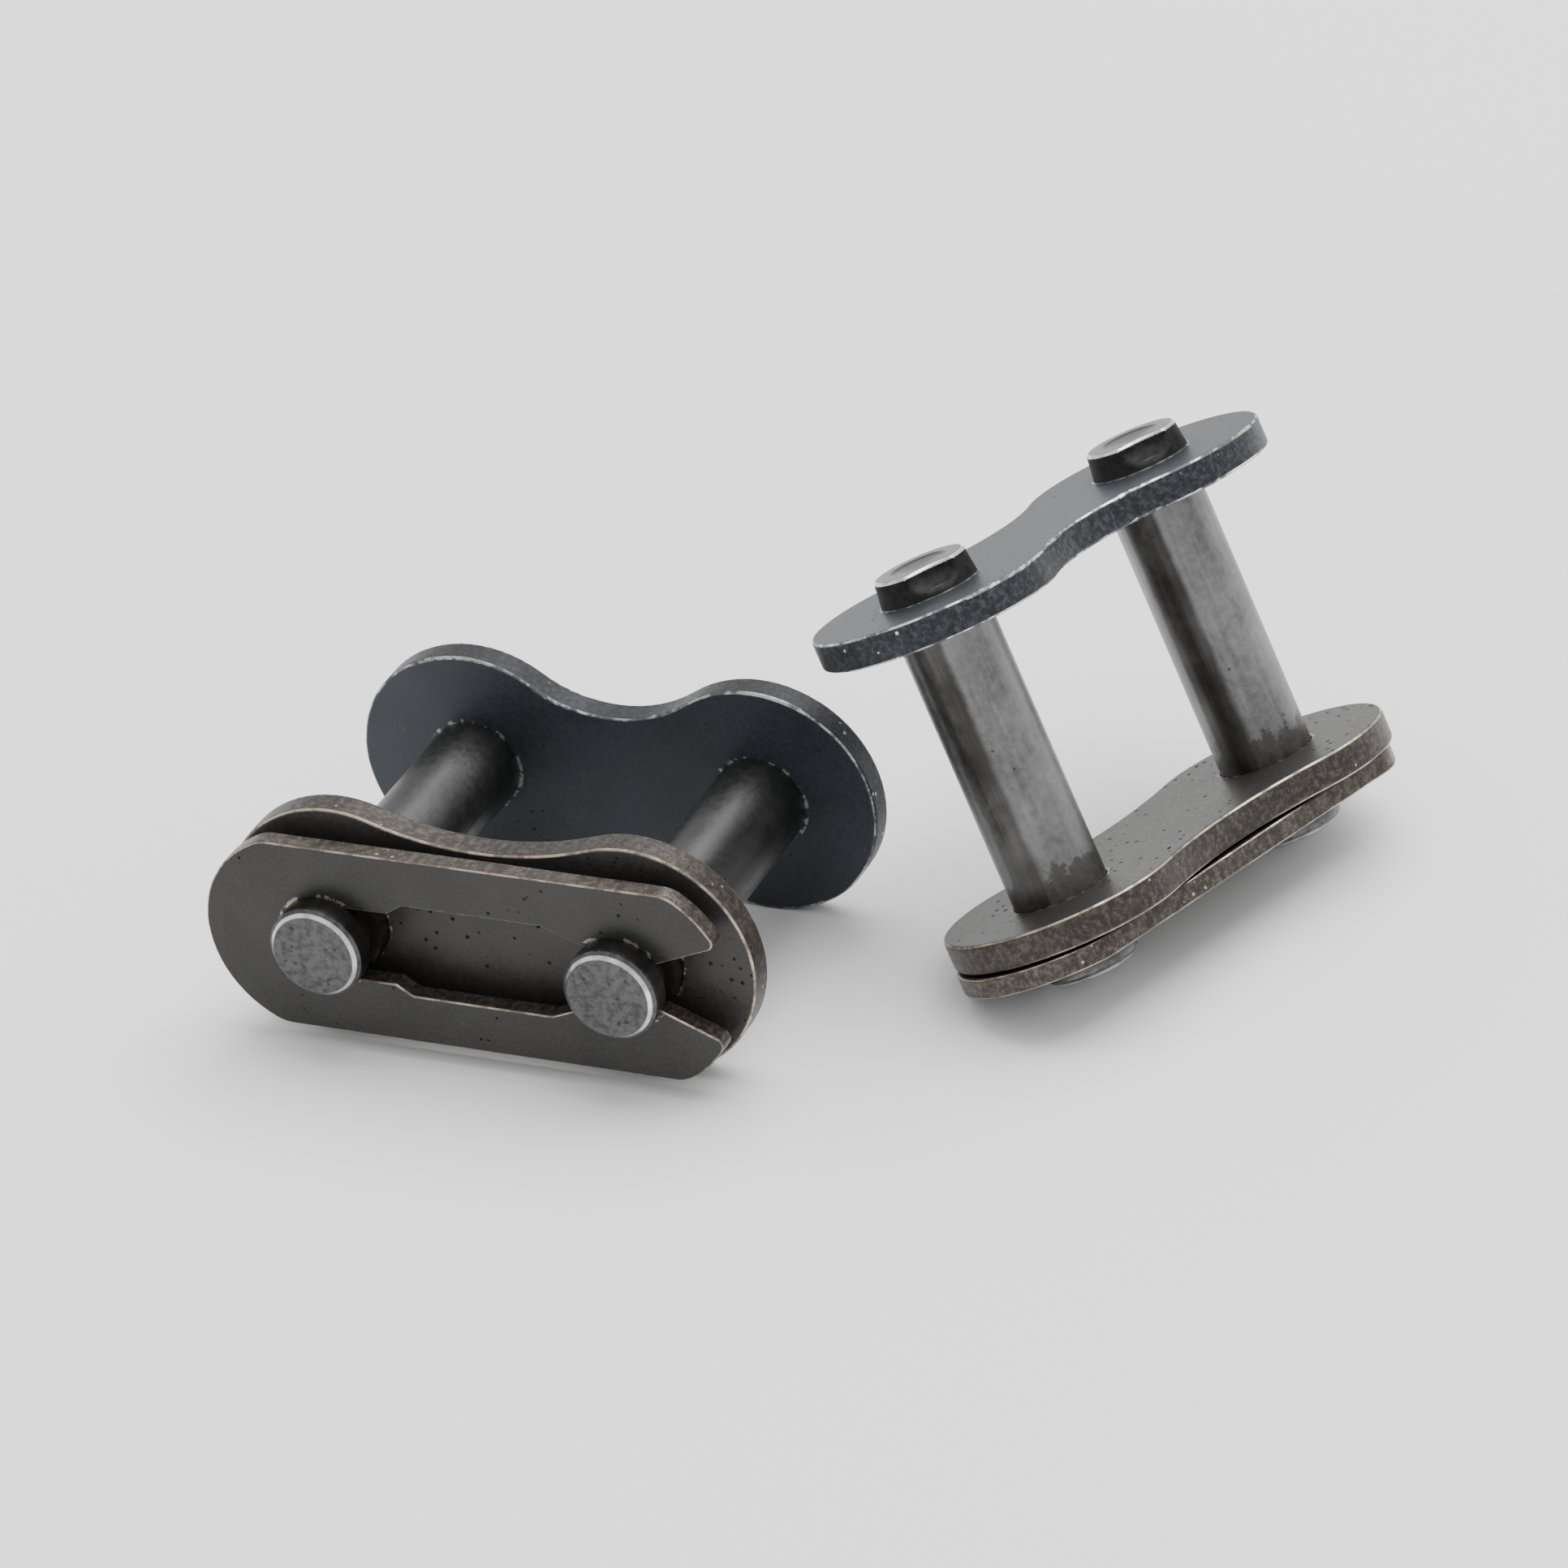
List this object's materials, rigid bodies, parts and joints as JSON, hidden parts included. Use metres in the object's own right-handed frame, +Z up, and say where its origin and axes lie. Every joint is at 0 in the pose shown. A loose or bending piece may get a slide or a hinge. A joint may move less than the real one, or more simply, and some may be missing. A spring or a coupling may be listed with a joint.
{
  "type": "roller chain connecting link pair",
  "caption": "Spring-clip connecting links for a half-inch roller chain: pin plates with riveted, grooved pins, loose cover plates and spring clips.",
  "frame": {"origin": "on the surface that the links rest on, under the middle of the pair", "axes": "+X along link A's line from its left pin to its right pin, +Y along link A's pins from their free ends to the riveted plate, +Z up"},
  "size_m": [0.041, 0.0326, 0.0177],
  "materials": {
    "blued_plate_steel": "blue-black oxide with bright worn edges",
    "natural_pin_steel": "matte heat-treated steel",
    "bronze_black_steel": "dark bronze-black oxide with bright worn edges",
    "bronze_black_spring_steel": "dark bronze-black oxide, slightly worn"
  },
  "bodies": {
    "link_a": {"link_a_pin_plate": "blued_plate_steel", "link_a_left_pin": "natural_pin_steel", "link_a_right_pin": "natural_pin_steel"},
    "cover_a": {"link_a_cover_plate": "bronze_black_steel"},
    "clip_a": {"link_a_spring_clip": "bronze_black_spring_steel"},
    "link_b": {"link_b_pin_plate": "blued_plate_steel", "link_b_left_pin": "natural_pin_steel", "link_b_right_pin": "natural_pin_steel"},
    "cover_b": {"link_b_cover_plate": "bronze_black_steel"},
    "clip_b": {"link_b_spring_clip": "bronze_black_spring_steel"}
  },
  "joints": [
    {"name": "link_b_lift", "type": "slide", "parent": "link_a", "child": "link_b", "axis": [0, 0, 1], "range_m": [0, 0.03]},
    {"name": "cover_a_slide", "type": "slide", "parent": "link_a", "child": "cover_a", "axis": [0, 1, 0], "range_m": [-0.018, 0.0111]},
    {"name": "clip_a_slide", "type": "slide", "parent": "link_a", "child": "clip_a", "axis": [1, 0, 0], "range_m": [-0.023, 0], "deforming": ["link_a_spring_clip"]},
    {"name": "cover_b_slide", "type": "slide", "parent": "link_b", "child": "cover_b", "axis": [-0.4053, 0.1515, 0.9015], "range_m": [0, 0.0118]},
    {"name": "clip_b_slide", "type": "slide", "parent": "link_b", "child": "clip_b", "axis": [0.3502, 0.9367, 0], "range_m": [-0.023, 0], "deforming": ["link_b_spring_clip"]}
  ]
}
